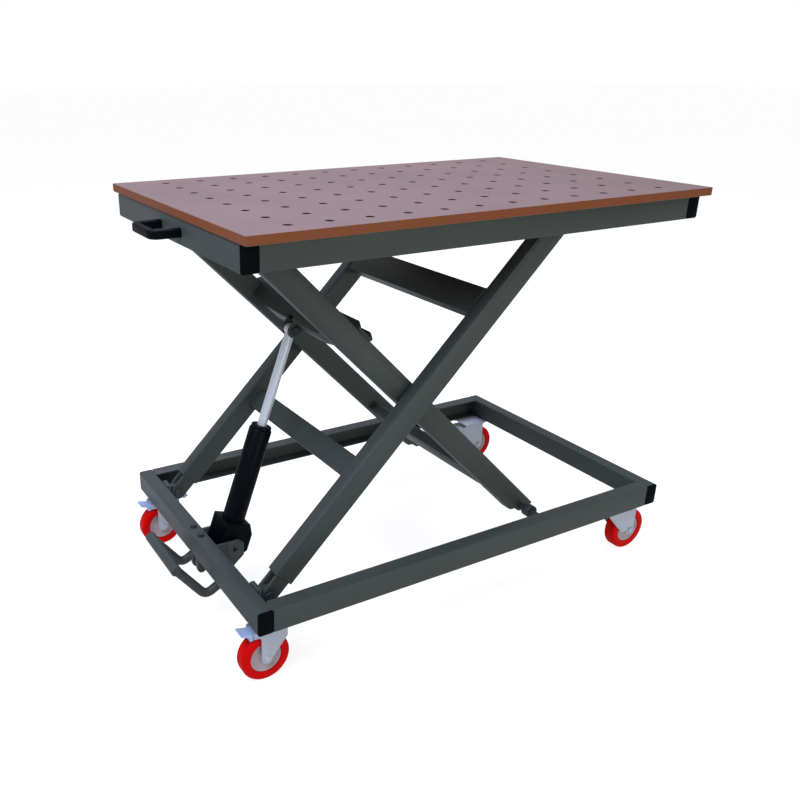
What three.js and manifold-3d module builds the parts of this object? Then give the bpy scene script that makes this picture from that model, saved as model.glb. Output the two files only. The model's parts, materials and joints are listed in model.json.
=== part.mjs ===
import * as THREE from 'three';
import { mergeVertices } from 'three/addons/utils/BufferGeometryUtils.js';
import Module from 'manifold-3d';

const wasm = await Module();
wasm.setup();

// Scissor-lift assembly table. Millimetres, +Z up, +X along the length, -Y towards the viewer.
// It is drawn raised, as in the photograph.

// Fit between touching pieces
const GAP = 0.3;

// Work board
const BOARD_L = 1300;
const BOARD_W = 800;
const BOARD_T = 20;
const HOLE_D = 20;
const HOLE_PITCH = 96;
const HOLE_COLS = 12;
const HOLE_ROWS = 8;

// Frames, of one rectangular tube
const TUBE_H = 60;
const TUBE_B = 40;
const TUBE_WALL = 3;
const TUBE_R = 5;
const RAIL_T = 4;
const UPPER_END = 3;
const UPPER_SIDE = 30;
const BASE_END = 7;
const CAP_T = 4;
const PLUG_L = 14;

// Scissor
const LIFT_DEG = 45;
const LOW_DEG = 13;
const PIVOT_INSET = 35;
const ROLLER_STOP = 43;
const RAIL_CLEAR = 17;
const LEG_GAP = 9;
const PIN_D = 16;
const PIN_HEAD_D = 24;
const PIN_HEAD_T = 4;
const CENTRE_PIN_D = 20;
const CHEEK_T = 8;
const CHEEK_R = 21.5;
const TONGUE_PLAY = 1;
const PAD_T = 12;
const FOOT_CUT = 50;
const HEAD_CUT = 28;
const LUG_IN = 45;
const BUSH_R = 17;
const MITRE_DROP = 4;
const NOSE = 32;
const ROLLER_W = 26;
const ROLLER_PLAY = 0.5;
const COLLAR_D = 36;

// Members across the legs, by their place along the leg from its centre
const CROSS_W = 60;
const CROSS_T = 30;
const OUTER_LOW_S = 222;
const OUTER_TOP_S = 282;
const OUTER_TOP_W = 75;
const INNER_LOW_S = 381;
const INNER_LOW_W = 112;
const PLATE = 5;
const BEAM_S = 220;
const BEAM_W = 50;
const BEAM_OVER = 19;
const BEAM_DIP = 23;
const BEAM_DIP_END = 10;
const BEAM_FLAT = 125;
const BEAM_CHAMFER_Y = 21;
const BEAM_CHAMFER_D = 12;

// Cylinder, rod and pump
const FOOT_INSET = 63;
const FOOT_DROP = 19;
const EYE_DROP = 40;
const EYE_R = 15;
const EYE_W = 24;
const EYE_RIDE = 13;
const EAR_PLAY = 2;
const EAR_T = 8;
const EAR_R = 18;
const BARREL_D = 60;
const BARREL_END = 330;
const GLAND_D = 54;
const GLAND_L = 18;
const BORE_END = 28;
const ROD_D = 25;
const PUMP_BACK = 25;
const PUMP_LONG = 64;
const PUMP_LEFT = 40;
const PUMP_RIGHT = 48;
const PUMP_W = 80;
const BRACKET_PLAY = 5;
const BRACKET_T = 8;
const BRACKET_REACH = 25;
const BOSS_D = 48;
const BOSS_T = 3;
const SOLE_T = 6;
const CLEVIS_R = 12;
const CLEVIS_DROP = 41;
const CLEVIS_IN = 11;
const CLEVIS_T = 12;

// Pedal
const PEDAL_IN = 18;
const PEDAL_DROP = 44;
const PEDAL_D = 24;
const PEDAL_SHAFT_D = 16;
const PEDAL_HALF = 85;
const PEDAL_KNEE = [-23, -17];
const PEDAL_BEND = [-57, -34];
const PEDAL_TREAD = [-134, 66];
const TREAD_D = 28;

// Handle
const HANDLE_HALF = 70;
const HANDLE_REACH = 72;
const HANDLE_H = 21;
const GRIP_T = 20;
const HANDLE_R = 16;

// Castors
const CASTOR_H = 158;
const WHEEL_D = 125;
const WHEEL_W = 36;
const HUB_D = 80;
const SWIVEL_LEFT_X = 67;
const SWIVEL_RIGHT_X = 75;
const CASTOR_Y = 55;
const TRAIL = 30;
const FORK_T = 4;
const FORK_PLAY = 2;
const CROWN_T = 8;
const CROWN_RISE = 17;
const SWIVEL_D = 44;
const FORK_IN_LEFT = 24;
const FORK_IN_RIGHT = 62;
const FORK_DROP_LEFT = 30;
const FORK_DROP_RIGHT = 16;
const FORK_HEEL = 20;
const CASTOR_PLATE_L = 90;
const CASTOR_PLATE_W = 84;
const AXLE_D = 10;
const AXLE_HEAD_D = 18;
const AXLE_HEAD_T = 5;
const AXLE_BOSS_R = 14;
const BRAKE_BACK = 56;
const BRAKE_REACH = 36;
const BRAKE_W = 34;
const BRAKE_PIN_D = 6;
const BRAKE_EAR = 6;

// Facets
const HOLE_SIDES = 8;
const WHEEL_SIDES = 16;
const ROUND_SIDES = 12;
const BAR_SIDES = 8;

// Derived levels and places
const RAD = Math.PI / 180;
const LIFT = LIFT_DEG * RAD;
const LOW = LOW_DEG * RAD;
const UPPER_L = BOARD_L - 2 * UPPER_END;
const UPPER_W = BOARD_W - 2 * UPPER_SIDE;
const BASE_L = BOARD_L - 2 * BASE_END;
const BASE_W = BOARD_W;
const BASE_Z = CASTOR_H;
const PIVOT_Z = BASE_Z + TUBE_H / 2;
const BASE_IN = BASE_L / 2 - TUBE_B;
const UPPER_IN = UPPER_L / 2 - TUBE_B;
const LEG = (2 * BASE_IN - PIVOT_INSET - ROLLER_STOP) / Math.cos(LOW);
const HALF = LEG / 2;
const FIXED_X = -BASE_IN + PIVOT_INSET;
const TOP_PIVOT_Z = PIVOT_Z + LEG * Math.sin(LIFT);
const BOARD_Z = TOP_PIVOT_Z + TUBE_H / 2 + GAP;
const ROLL_X = FIXED_X + LEG * Math.cos(LIFT);
const OUTER_Y = UPPER_W / 2 - TUBE_B - RAIL_CLEAR - TUBE_B / 2;
const INNER_Y = OUTER_Y - TUBE_B - LEG_GAP;
const CENTRE = [(FIXED_X + ROLL_X) / 2, (PIVOT_Z + TOP_PIVOT_Z) / 2];
const CHEEK_OUT = TUBE_B / 2 - TUBE_WALL;
const CHEEK_IN = CHEEK_OUT - CHEEK_T;
const ROLLER_R = TUBE_H / 2 - RAIL_T - ROLLER_PLAY;
const HOLE_IN_PIN = PIN_D / 2 + GAP;
const FOOT_X = -BASE_IN + FOOT_INSET;
const FOOT_Z = PIVOT_Z - FOOT_DROP;

// The rod's eye, at the leg angle a
function eyeAt(a) {
  const ox = FIXED_X + HALF * Math.cos(a);
  const oz = PIVOT_Z + HALF * Math.sin(a);
  const x = ox - BEAM_S * Math.cos(a) - EYE_DROP * Math.sin(a);
  const z = oz + BEAM_S * Math.sin(a) - EYE_DROP * Math.cos(a);
  return [x, z];
}

const EYE = eyeAt(LIFT);
const EYE_LOW = eyeAt(LOW);
const REACH = Math.hypot(EYE[0] - FOOT_X, EYE[1] - FOOT_Z);
const REACH_LOW = Math.hypot(EYE_LOW[0] - FOOT_X, EYE_LOW[1] - FOOT_Z);
const STROKE = REACH - REACH_LOW;
const LEAN = Math.atan2(EYE[0] - FOOT_X, EYE[1] - FOOT_Z);
const PEDAL_X = -BASE_IN + PEDAL_IN;
const PEDAL_Z = BASE_Z - PEDAL_DROP;
const WHEEL_R = WHEEL_D / 2;
const SWIVEL_LEFT = -BASE_L / 2 + SWIVEL_LEFT_X;
const SWIVEL_RIGHT = BASE_L / 2 - SWIVEL_RIGHT_X;
const CASTOR_AT = BASE_W / 2 - CASTOR_Y;
const LEFT_END = PEDAL_X + PEDAL_TREAD[0] - TREAD_D / 2;
const RIGHT_END = Math.max(SWIVEL_RIGHT + TRAIL + WHEEL_R, BOARD_L / 2);
const SHIFT_X = -(LEFT_END + RIGHT_END) / 2;

// Frames of the tilted pieces: x along the leg, or z along the cylinder
const AT_OUTER = new THREE.Matrix4().makeTranslation(CENTRE[0], 0, CENTRE[1])
  .multiply(new THREE.Matrix4().makeRotationY(-LIFT));
const AT_INNER = new THREE.Matrix4().makeTranslation(CENTRE[0], 0, CENTRE[1])
  .multiply(new THREE.Matrix4().makeRotationY(LIFT));
const AT_CYLINDER = new THREE.Matrix4().makeTranslation(FOOT_X, 0, FOOT_Z)
  .multiply(new THREE.Matrix4().makeRotationY(LEAN));

const table = new THREE.Group();
table.name = 'assembly_table';

const COLOURS = {
  frame: 0x3a403d,
  black: 0x0c0d10,
  board: 0x8a5a44,
  rod: 0xc5cbd8,
  tyre: 0xc41212,
  zinc: 0xa5a8b4,
};

// Closed geometry as a solid, wound outward
function solid(geometry) {
  let g = geometry.clone();
  g.deleteAttribute('normal');
  g.deleteAttribute('uv');
  g = mergeVertices(g, 1e-4);
  const p = g.attributes.position;
  const tris = [];
  let volume = 0;
  const a = new THREE.Vector3();
  const b = new THREE.Vector3();
  const c = new THREE.Vector3();
  for (let i = 0; i < g.index.count; i += 3) {
    const [u, v, w] = [g.index.getX(i), g.index.getX(i + 1), g.index.getX(i + 2)];
    if (u === v || v === w || w === u) continue;
    tris.push(u, v, w);
    a.fromBufferAttribute(p, u);
    b.fromBufferAttribute(p, v);
    c.fromBufferAttribute(p, w);
    volume += a.dot(b.cross(c));
  }
  if (volume < 0) tris.reverse();
  return new wasm.Manifold(new wasm.Mesh({
    numProp: 3,
    vertProperties: new Float32Array(p.array),
    triVerts: new Uint32Array(tris),
  }));
}

// All the geometries as one solid
function union(list) {
  return list.map(solid).reduce((sum, next) => sum.add(next));
}

// The body less each of the cutters
function cut(body, cutters) {
  return cutters.map(solid).reduce((rest, next) => rest.subtract(next), body);
}

// Adds a named mesh, moved so that the bounds are centred on X
function put(name, body, colour, metal, rough) {
  const data = body.getMesh();
  const g = new THREE.BufferGeometry();
  g.setAttribute('position', new THREE.BufferAttribute(new Float32Array(data.vertProperties), 3));
  g.setIndex(Array.from(data.triVerts));
  g.translate(SHIFT_X, 0, 0);
  g.computeVertexNormals();
  const material = new THREE.MeshStandardMaterial({ color: colour, metalness: metal, roughness: rough });
  const mesh = new THREE.Mesh(g, material);
  mesh.name = name;
  table.add(mesh);
}

// Box between two corners
function box(x0, x1, y0, y1, z0, z1) {
  const g = new THREE.BoxGeometry(x1 - x0, y1 - y0, z1 - z0);
  return g.translate((x0 + x1) / 2, (y0 + y1) / 2, (z0 + z1) / 2);
}

// Flat outline, with holes, from lists of points
function outline(points, holes = []) {
  const shape = new THREE.Shape(points.map(([x, y]) => new THREE.Vector2(x, y)));
  for (const hole of holes) {
    shape.holes.push(new THREE.Path(hole.map(([x, y]) => new THREE.Vector2(x, y))));
  }
  return shape;
}

function extrude(shape, depth) {
  return new THREE.ExtrudeGeometry(shape, { depth, bevelEnabled: false, steps: 1 });
}

// Prism of an XY outline
function prismZ(shape, z0, z1) {
  return extrude(shape, z1 - z0).translate(0, 0, z0);
}

// Prism of an XZ outline
function prismY(shape, y0, y1) {
  return extrude(shape, y1 - y0).rotateX(Math.PI / 2).translate(0, y1, 0);
}

// Prism of a YZ outline
function prismX(shape, x0, x1) {
  const basis = new THREE.Matrix4().set(0, 0, 1, 0, 1, 0, 0, 0, 0, 1, 0, 0, 0, 0, 0, 1);
  return extrude(shape, x1 - x0).applyMatrix4(basis).translate(x0, 0, 0);
}

// Round bar along Y
function barY(x, z, r, y0, y1, sides = ROUND_SIDES) {
  return new THREE.CylinderGeometry(r, r, y1 - y0, sides).translate(x, (y0 + y1) / 2, z);
}

// Round bar along Z
function barZ(x, y, r, z0, z1, sides = ROUND_SIDES) {
  const g = new THREE.CylinderGeometry(r, r, z1 - z0, sides).rotateX(Math.PI / 2);
  return g.translate(x, y, (z0 + z1) / 2);
}

// Round bar between two points
function barTo(from, to, r, sides = BAR_SIDES) {
  const a = new THREE.Vector3(...from);
  const b = new THREE.Vector3(...to);
  const g = new THREE.CylinderGeometry(r, r, a.distanceTo(b), sides);
  const turn = new THREE.Quaternion().setFromUnitVectors(
    new THREE.Vector3(0, 1, 0), b.clone().sub(a).normalize());
  return g.applyQuaternion(turn).translate((a.x + b.x) / 2, (a.y + b.y) / 2, (a.z + b.z) / 2);
}

// Ring or disc turned about Y, from (radius, y) points around its section
function turned(section, x, y, z, sides, flip = 1) {
  const loop = section.concat([section[0]]).map(([r, h]) => new THREE.Vector2(r, h));
  return new THREE.LatheGeometry(loop, sides).scale(1, flip, 1).translate(x, y, z);
}

// Rectangle with rounded corners, centred
function roundRect(w, h, r) {
  const points = [];
  const corners = [[1, 1, 0], [-1, 1, 1], [-1, -1, 2], [1, -1, 3]];
  for (const [sx, sy, quarter] of corners) {
    for (let i = 0; i <= 2; i += 1) {
      const t = (quarter + i / 2) * Math.PI / 2;
      points.push([sx * (w / 2 - r) + r * Math.cos(t), sy * (h / 2 - r) + r * Math.sin(t)]);
    }
  }
  return points;
}

function squareRect(w, h) {
  return [[w / 2, h / 2], [-w / 2, h / 2], [-w / 2, -h / 2], [w / 2, -h / 2]];
}

// Points of an arc, angles in degrees
function arc(x, y, r, from, to, steps) {
  const points = [];
  for (let i = 0; i <= steps; i += 1) {
    const t = (from + (to - from) * i / steps) * RAD;
    points.push([x + r * Math.cos(t), y + r * Math.sin(t)]);
  }
  return points;
}

function shifted(points, dx, dy) {
  return points.map(([x, y]) => [x + dx, y + dy]);
}

// Section of the rectangular tube, b wide and h high
function tubeShape(b, h, x = 0, y = 0) {
  const inner = squareRect(b - 2 * TUBE_WALL, h - 2 * TUBE_WALL);
  return outline(shifted(roundRect(b, h, TUBE_R), x, y), [shifted(inner, x, y)]);
}

function inFrame(matrix, list) {
  return list.map((g) => g.applyMatrix4(matrix));
}

const SIDES = [['near', -1], ['far', 1]];
const ENDS = [['left', -1], ['right', 1]];
const FRAME = [COLOURS.frame, 0.3, 0.55];
const BLACK = [COLOURS.black, 0, 0.5];
const ZINC = [COLOURS.zinc, 0.8, 0.4];
const CHROME = [COLOURS.rod, 1, 0.15];

// The two frames: cross tubes with end caps, and channel rails between them
function frameOf(prefix, length, width, zMid) {
  const xMid = length / 2 - TUBE_B / 2;
  const tubeEnd = width / 2 - CAP_T - GAP;
  for (const [end, ex] of ENDS) {
    put(`${prefix}_${end}_tube`, solid(prismY(tubeShape(TUBE_B, TUBE_H, ex * xMid, zMid), -tubeEnd, tubeEnd)), ...FRAME);
    for (const [side, sy] of SIDES) {
      const lip = prismY(outline(shifted(roundRect(TUBE_B, TUBE_H, TUBE_R), ex * xMid, zMid)),
        Math.min(sy * (width / 2 - CAP_T), sy * width / 2), Math.max(sy * (width / 2 - CAP_T), sy * width / 2));
      const hb = TUBE_B / 2 - TUBE_WALL - GAP;
      const hh = TUBE_H / 2 - TUBE_WALL - GAP;
      const ys = [sy * (tubeEnd - PLUG_L), sy * (width / 2 - CAP_T / 2)].sort((p, q) => p - q);
      const plug = box(ex * xMid - hb, ex * xMid + hb, ys[0], ys[1], zMid - hh, zMid + hh);
      put(`${prefix}_cap_${end}_${side}`, union([lip, plug]), ...BLACK);
    }
  }
  const run = length / 2 - TUBE_B - GAP;
  for (const [side, sy] of SIDES) {
    const out = sy * width / 2;
    const back = out - sy * RAIL_T;
    const mouth = out - sy * TUBE_B;
    const [z0, z1] = [zMid - TUBE_H / 2, zMid + TUBE_H / 2];
    const section = [[out, z0], [out, z1], [mouth, z1], [mouth, z1 - RAIL_T], [back, z1 - RAIL_T],
      [back, z0 + RAIL_T], [mouth, z0 + RAIL_T], [mouth, z0]];
    put(`${prefix}_${side}_rail`, solid(prismX(outline(section), -run, run)), ...FRAME);
  }
}

frameOf('base', BASE_L, BASE_W, PIVOT_Z);
frameOf('upper', UPPER_L, UPPER_W, TOP_PIVOT_Z);

// Pivot lugs on the left tubes: a pad with a tongue that enters the leg's fork, and the pin through both
const TONGUE = CHEEK_IN - TONGUE_PLAY;
function lug(face, z, y) {
  const pad = box(face + GAP, face + PAD_T, y - TUBE_B / 2, y + TUBE_B / 2, z - TUBE_H / 2, z + TUBE_H / 2);
  const r = CHEEK_R - 1.5;
  const profile = [[face + PAD_T / 2, z + r]].concat(
    arc(FIXED_X, z, r, 90, -90, 8), [[face + PAD_T / 2, z - r]]);
  return [pad, prismY(outline(profile), y - TONGUE, y + TONGUE)];
}

function pivotPin(z, y) {
  const end = CHEEK_OUT + GAP;
  return [
    barY(FIXED_X, z, PIN_D / 2, y - end - PIN_HEAD_T / 2, y + end + PIN_HEAD_T / 2),
    barY(FIXED_X, z, PIN_HEAD_D / 2, y - end - PIN_HEAD_T, y - end),
    barY(FIXED_X, z, PIN_HEAD_D / 2, y + end, y + end + PIN_HEAD_T),
  ];
}

for (const [side, sy] of SIDES) {
  const yo = sy * OUTER_Y;
  const yi = sy * INNER_Y;
  const lower = lug(-BASE_IN, PIVOT_Z, yo).concat(pivotPin(PIVOT_Z, yo));
  put(`lower_pivot_block_${side}`, union(lower), ...FRAME);
  const upper = lug(-UPPER_IN, TOP_PIVOT_Z, yi).concat(pivotPin(TOP_PIVOT_Z, yi));
  put(`upper_pivot_block_${side}`, union(upper), ...FRAME);
}

// Fork of two cheeks at a leg's pivot end; way is -1 at the end with low x
function forkParts(xPivot, way, xCut, y) {
  const root = xCut - way * LUG_IN;
  const profile = [[root, -CHEEK_R], [root, CHEEK_R]].concat(
    way < 0 ? arc(xPivot, 0, CHEEK_R, 90, 270, 8) : arc(xPivot, 0, CHEEK_R, 90, -90, 8));
  const bite = TUBE_WALL / 3;
  const mouth = xCut + way * (TUBE_WALL / 3);
  const parts = [];
  for (const sy of [-1, 1]) {
    const ys = [y + sy * CHEEK_IN, y + sy * CHEEK_OUT].sort((p, q) => p - q);
    parts.push(prismY(outline(profile), ys[0], ys[1]));
    const weld = [y + sy * (CHEEK_OUT - bite), y + sy * (CHEEK_OUT + bite)].sort((p, q) => p - q);
    const xs = [root, mouth - way * TUBE_WALL].sort((p, q) => p - q);
    parts.push(box(xs[0], xs[1], weld[0], weld[1], -CHEEK_R, CHEEK_R));
  }
  return parts;
}

const PIN_HOLE_SPAN = TUBE_B;
for (const [side, sy] of SIDES) {
  // Outer leg: fork on the base, bush for the upper roller's axle, bore for the centre pin
  const y = sy * OUTER_Y;
  const footX = -HALF;
  const headX = HALF;
  const endX = headX - MITRE_DROP * 2;
  const tube = prismX(tubeShape(TUBE_B, TUBE_H, y, 0), footX + FOOT_CUT, endX);
  const bush = barY(headX, 0, BUSH_R + 3, y - TUBE_B / 2, y + TUBE_B / 2);
  const outer = inFrame(AT_OUTER, [tube, bush].concat(forkParts(footX, -1, footX + FOOT_CUT, y)));
  const pinIn = y - sy * TUBE_B / 2;
  const pinSpan = [pinIn - sy * LEG_GAP, pinIn + sy * 2 * TUBE_WALL].sort((p, q) => p - q);
  const outerCuts = inFrame(AT_OUTER, [
    barY(footX, 0, HOLE_IN_PIN, y - PIN_HOLE_SPAN, y + PIN_HOLE_SPAN),
    barY(headX, 0, HOLE_IN_PIN, y - PIN_HOLE_SPAN, y + PIN_HOLE_SPAN),
    barY(0, 0, (CENTRE_PIN_D / 2 + GAP) / Math.cos(Math.PI / ROUND_SIDES), pinSpan[0], pinSpan[1]),
  ]);
  put(`outer_leg_${side}`, cut(union(outer), outerCuts), ...FRAME);

  // Inner leg: bush and slanting foot at the lower roller, fork at the top, centre pin
  const yi = sy * INNER_Y;
  const topX = -HALF;
  const rollX = HALF;
  const innerTube = prismX(tubeShape(TUBE_B, TUBE_H, yi, 0), topX + HEAD_CUT, rollX + NOSE);
  const foot = prismY(outline([
    [rollX + 3 * NOSE, TUBE_H],
    [rollX + (MITRE_DROP + TUBE_H * Math.cos(LIFT)) / Math.sin(LIFT), TUBE_H],
    [rollX + (MITRE_DROP - TUBE_H * Math.cos(LIFT)) / Math.sin(LIFT), -TUBE_H],
    [rollX + 3 * NOSE, -TUBE_H],
  ]), yi - TUBE_B, yi + TUBE_B);
  const shell = cut(solid(innerTube.applyMatrix4(AT_INNER)), inFrame(AT_INNER, [foot]));
  const pinEnds = [yi, sy * (OUTER_Y + TUBE_B / 4)].sort((p, q) => p - q);
  const innerAdds = inFrame(AT_INNER, [
    barY(rollX, 0, BUSH_R, yi - TUBE_B / 2, yi + TUBE_B / 2),
    barY(0, 0, CENTRE_PIN_D / 2, pinEnds[0], pinEnds[1]),
    barY(0, 0, CENTRE_PIN_D / 2 + TUBE_WALL, yi - TUBE_B / 2 + TUBE_WALL / 2, yi + TUBE_B / 2 - TUBE_WALL / 2),
  ].concat(forkParts(topX, -1, topX + HEAD_CUT, yi)));
  const innerCuts = inFrame(AT_INNER, [
    barY(rollX, 0, HOLE_IN_PIN, yi - PIN_HOLE_SPAN, yi + PIN_HOLE_SPAN),
    barY(topX, 0, HOLE_IN_PIN, yi - PIN_HOLE_SPAN, yi + PIN_HOLE_SPAN),
  ]);
  put(`inner_leg_${side}`, cut(shell.add(union(innerAdds)), innerCuts), ...FRAME);

  // Stub axles and rollers in the rails
  const axleR = PIN_D / 2;
  const headR = PIN_HEAD_D / 2;
  const playEnd = 2 * GAP;
  const baseIn = BASE_W / 2 - TUBE_B + RAIL_T;
  const lowFrom = INNER_Y - TUBE_B / 2;
  const collarFrom = OUTER_Y - RAIL_T * 2;
  const collarTo = OUTER_Y + RAIL_CLEAR;
  const lowEnd = baseIn + ROLLER_W;
  put(`lower_axle_${side}`, solid(turned([
    [0, lowFrom], [axleR, lowFrom], [axleR, collarFrom], [COLLAR_D / 2, collarFrom], [COLLAR_D / 2, collarTo],
    [axleR, collarTo], [axleR, lowEnd + GAP], [headR, lowEnd + GAP], [headR, lowEnd + PIN_HEAD_T - playEnd],
    [0, lowEnd + PIN_HEAD_T - playEnd],
  ], ROLL_X, 0, PIVOT_Z, ROUND_SIDES, sy)), ...ZINC);
  const upperIn = UPPER_W / 2 - TUBE_B + RAIL_T;
  const upFrom = OUTER_Y - TUBE_B / 2;
  const upTo = OUTER_Y + TUBE_B / 2 + GAP;
  const upEnd = upperIn + ROLLER_W;
  put(`upper_axle_${side}`, solid(turned([
    [0, upFrom], [axleR, upFrom], [axleR, upTo], [headR, upTo], [headR, upperIn - GAP], [axleR, upperIn - GAP],
    [axleR, upEnd + GAP], [headR, upEnd + GAP], [headR, upEnd + PIN_HEAD_T - playEnd],
    [0, upEnd + PIN_HEAD_T - playEnd],
  ], ROLL_X, 0, TOP_PIVOT_Z, ROUND_SIDES, sy)), ...ZINC);
  const bevel = 2;
  for (const [level, z, from] of [['lower', PIVOT_Z, baseIn], ['upper', TOP_PIVOT_Z, upperIn]]) {
    put(`${level}_roller_${side}`, solid(turned([
      [HOLE_IN_PIN, from], [ROLLER_R - bevel, from], [ROLLER_R, from + bevel], [ROLLER_R, from + ROLLER_W - bevel],
      [ROLLER_R - bevel, from + ROLLER_W], [HOLE_IN_PIN, from + ROLLER_W],
    ], ROLL_X, 0, z, ROUND_SIDES, sy)), COLOURS.zinc, 0.5, 0.5);
  }
}

// Members across the outer legs
const outerSpan = OUTER_Y - TUBE_B / 2 - GAP;
const innerSpan = INNER_Y - TUBE_B / 2 - GAP;
const legLow = -TUBE_H / 2;
const crossShape = (s, w) => {
  const zMid = legLow + CROSS_T / 2;
  const inner = squareRect(w - 2 * TUBE_WALL, CROSS_T - 2 * TUBE_WALL);
  return outline(shifted(roundRect(w, CROSS_T, TUBE_R), s, zMid), [shifted(inner, s, zMid)]);
};
put('outer_cross_lower', solid(prismY(crossShape(-OUTER_LOW_S, CROSS_W), -outerSpan, outerSpan)
  .applyMatrix4(AT_OUTER)), ...FRAME);
const topLow = OUTER_TOP_S - OUTER_TOP_W / 2;
const topHigh = OUTER_TOP_S + OUTER_TOP_W / 2;
const legTop = TUBE_H / 2;
const folded = outline([[topLow, 0], [topLow, legTop], [topHigh, legTop], [topHigh, 0], [topHigh - RAIL_T, 0],
  [topHigh - RAIL_T, legTop - RAIL_T], [topLow + RAIL_T, legTop - RAIL_T], [topLow + RAIL_T, 0]]);
put('outer_cross_upper', solid(prismY(folded, -outerSpan, outerSpan).applyMatrix4(AT_OUTER)), ...FRAME);
put('inner_cross_lower', solid(prismY(crossShape(INNER_LOW_S, INNER_LOW_W), -innerSpan, innerSpan)
  .applyMatrix4(AT_INNER)), ...FRAME);

// Lift beam: a trough over the inner legs, fish-bellied, with two ears for the rod's eye and a slot between them
const seat = legTop + GAP;
const beamTop = legTop + BEAM_OVER;
const beamOut = INNER_Y + TUBE_B / 2;
const halfBeam = [[beamOut, seat], [beamOut, beamTop - BEAM_CHAMFER_D], [beamOut - BEAM_CHAMFER_Y, beamTop]];
const halfBelly = [[BEAM_FLAT, -BEAM_DIP], [innerSpan, -BEAM_DIP_END], [innerSpan, seat]];
const mirror = (points) => points.map(([y, d]) => [-y, d]).reverse();
const beamShape = outline(halfBelly.concat(halfBeam, mirror(halfBeam), mirror(halfBelly)));
const beamX0 = -BEAM_S - BEAM_W / 2;
const beamX1 = -BEAM_S + BEAM_W / 2;
const trough = outline([[-innerSpan, beamTop + PLATE], [-innerSpan, PLATE - BEAM_DIP_END],
  [-BEAM_FLAT, PLATE - BEAM_DIP], [BEAM_FLAT, PLATE - BEAM_DIP], [innerSpan, PLATE - BEAM_DIP_END],
  [innerSpan, beamTop + PLATE]]);
const overLeg = box(beamX0 + PLATE, beamX1 - PLATE, -beamOut - PLATE, beamOut + PLATE, seat + PLATE, beamTop + PLATE);
const earIn = EYE_W / 2 + EAR_PLAY;
const ears = [];
for (const sy of [-1, 1]) {
  const earShape = outline([[-BEAM_S - EAR_R, -BEAM_DIP + PLATE / 2]].concat(
    arc(-BEAM_S, -EYE_DROP, EAR_R, 180, 360, 8), [[-BEAM_S + EAR_R, -BEAM_DIP + PLATE / 2]]));
  const ys = [sy * earIn, sy * (earIn + EAR_T)].sort((p, q) => p - q);
  ears.push(prismY(earShape, ys[0], ys[1]));
  const head = [sy * (earIn + EAR_T / 2), sy * (earIn + EAR_T + PIN_HEAD_T)].sort((p, q) => p - q);
  ears.push(barY(-BEAM_S, -EYE_DROP, PIN_HEAD_D / 2, head[0], head[1]));
}
const eyeSlot = box(beamX0 - PLATE, beamX1 + PLATE, -earIn, earIn, -EYE_DROP, -EYE_DROP + EYE_R + EYE_RIDE);
const beamBody = cut(solid(prismX(beamShape, beamX0, beamX1).applyMatrix4(AT_INNER)),
  inFrame(AT_INNER, [prismX(trough, beamX0 + PLATE, beamX1 - PLATE), overLeg, eyeSlot]));
put('lift_beam', beamBody.add(union(inFrame(AT_INNER, ears))), ...FRAME);

// Cylinder with its pump block, and the rod with its eye
const pumpHalf = PUMP_W / 2;
const barrel = barZ(0, 0, BARREL_D / 2, PUMP_LONG / 2, BARREL_END - GLAND_L / 2, WHEEL_SIDES);
const gland = barZ(0, 0, GLAND_D / 2, BARREL_END - GLAND_L, BARREL_END, WHEEL_SIDES);
const corner = 14;
const pump = prismY(outline([
  [-PUMP_LEFT + corner, -PUMP_BACK], [PUMP_RIGHT - corner, -PUMP_BACK], [PUMP_RIGHT, -PUMP_BACK + corner],
  [PUMP_RIGHT, PUMP_LONG - 2 * corner], [PUMP_RIGHT - corner, PUMP_LONG], [-PUMP_LEFT, PUMP_LONG],
  [-PUMP_LEFT, -PUMP_BACK + corner],
]), -pumpHalf, pumpHalf);
const rodBore = barZ(0, 0, ROD_D / 2 + GAP, BORE_END, BARREL_END + GLAND_L);
const footBore = barY(0, 0, HOLE_IN_PIN, -PUMP_W, PUMP_W);
put('lift_cylinder', cut(union(inFrame(AT_CYLINDER, [barrel, gland, pump])),
  inFrame(AT_CYLINDER, [rodBore, footBore])), COLOURS.black, 0.2, 0.4);
const rodTail = BORE_END + STROKE + 2;
const rodParts = inFrame(AT_CYLINDER, [
  barZ(0, 0, ROD_D / 2, rodTail, REACH - EYE_R / 2),
  barY(0, REACH, EYE_R, -EYE_W / 2, EYE_W / 2),
]);
put('lift_rod', union(rodParts), ...CHROME);

// Bracket on the base: two cheeks, a back plate and a sole with a clevis under the tube,
// with the cylinder's foot pin and the pedal's bearing
const cheekIn = pumpHalf + BRACKET_PLAY;
const cheekOut = cheekIn + BRACKET_T;
const backX = -BASE_IN + GAP;
const bracketTop = FOOT_Z + BOSS_D / 2 - 2;
const bracketBottom = PEDAL_Z - PEDAL_SHAFT_D;
const cheekShape = outline([[backX, bracketTop], [backX, BASE_Z - GAP], [PEDAL_X - PEDAL_SHAFT_D, BASE_Z - TUBE_WALL * 5],
  [PEDAL_X - PEDAL_SHAFT_D, bracketBottom + 4], [PEDAL_X - PEDAL_SHAFT_D + 4, bracketBottom],
  [PEDAL_X + PEDAL_SHAFT_D, bracketBottom], [FOOT_X + BRACKET_REACH, FOOT_Z - BOSS_D / 2],
  [FOOT_X + BRACKET_REACH, FOOT_Z + BOSS_D / 4], [FOOT_X + BRACKET_REACH / 2, bracketTop]]);
const soleTop = BASE_Z - GAP;
const clevisX = -BASE_IN - TUBE_B / 2;
const clevisShape = outline([[clevisX - CLEVIS_R, soleTop - SOLE_T / 2]].concat(
  arc(clevisX, BASE_Z - CLEVIS_DROP, CLEVIS_R, 180, 360, 6), [[clevisX + CLEVIS_R, soleTop - SOLE_T / 2]]));
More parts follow.
